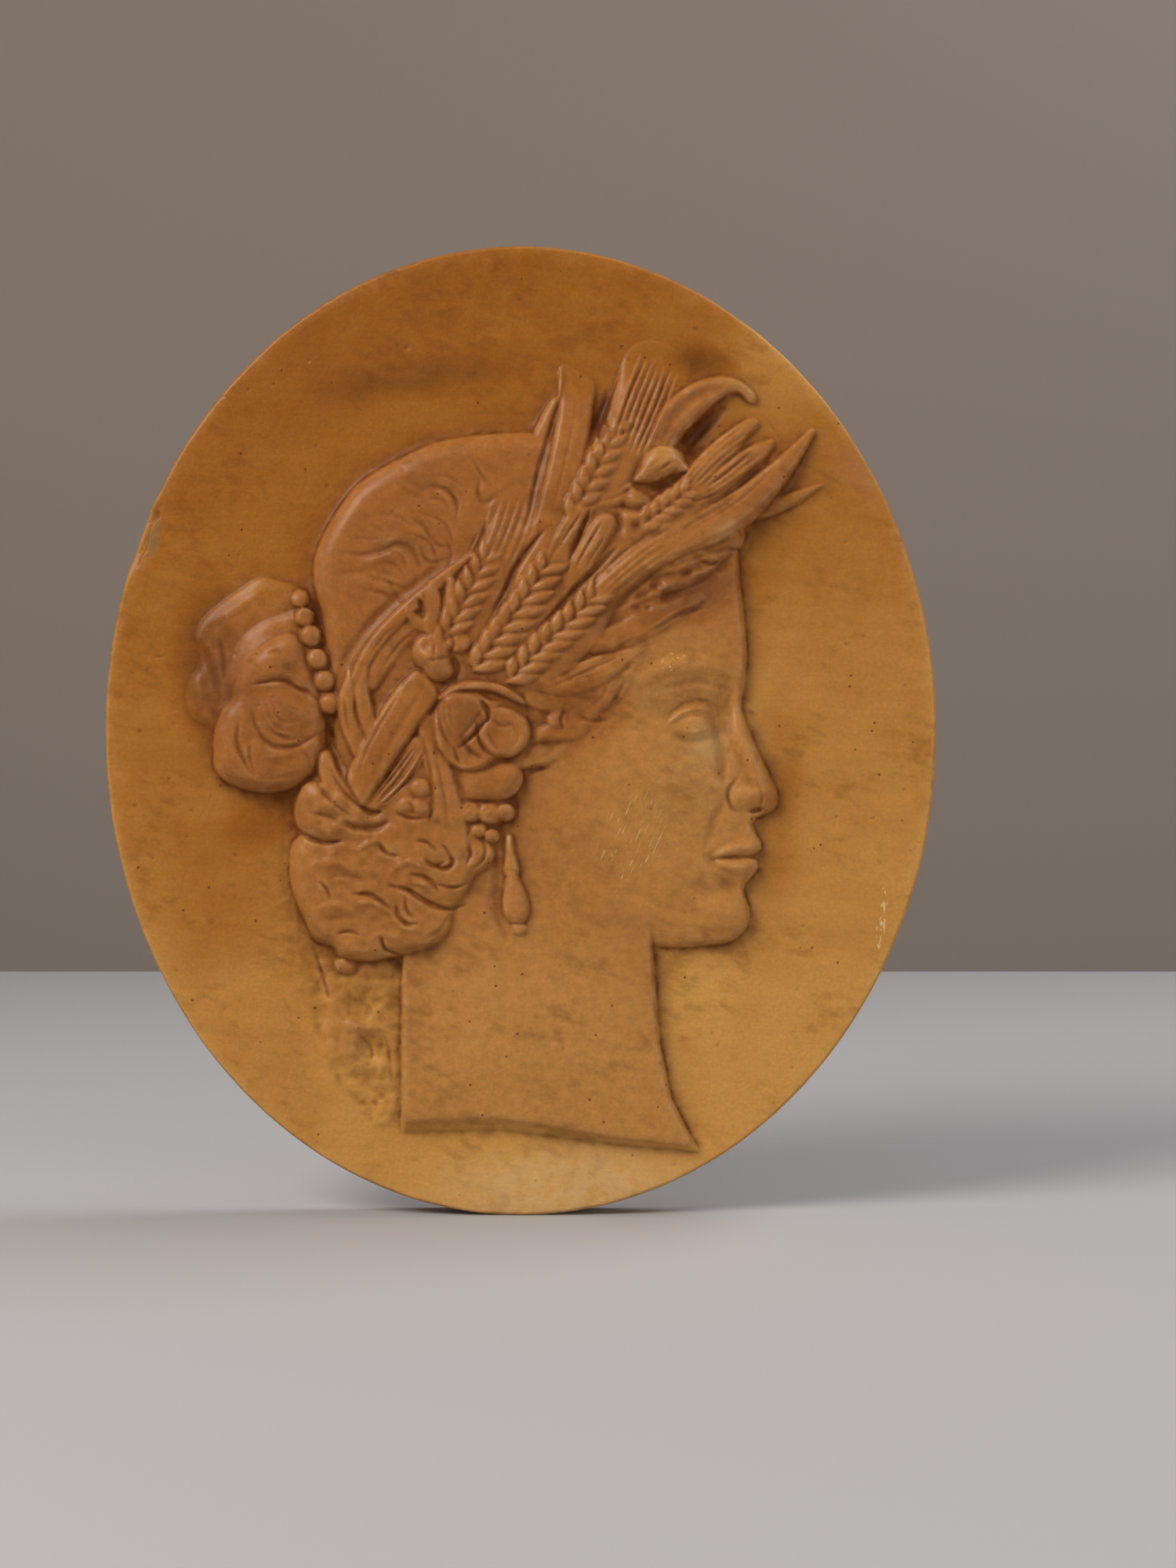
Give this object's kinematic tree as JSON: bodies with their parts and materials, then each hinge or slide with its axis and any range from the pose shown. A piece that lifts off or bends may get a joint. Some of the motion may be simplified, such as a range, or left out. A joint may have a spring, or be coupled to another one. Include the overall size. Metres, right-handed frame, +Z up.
{
  "type": "wall plaque",
  "caption": "Upright oval wall plaque in cast relief: a classical head in profile wearing a wreath of wheat, leaves and a rose, flat at the back to rest against a wall.",
  "frame": {"origin": "middle of the flat back, where the plaque meets the wall", "axes": "+Z up along the oval's long axis, +X to the right of somebody who faces the relief, +Y out of the flat back into the wall; the relief faces -Y"},
  "size_m": [0.343, 0.0345, 0.4],
  "materials": {
    "patinated_plaster": "satin"
  },
  "bodies": {
    "root": {"plaque": "patinated_plaster"}
  },
  "joints": []
}
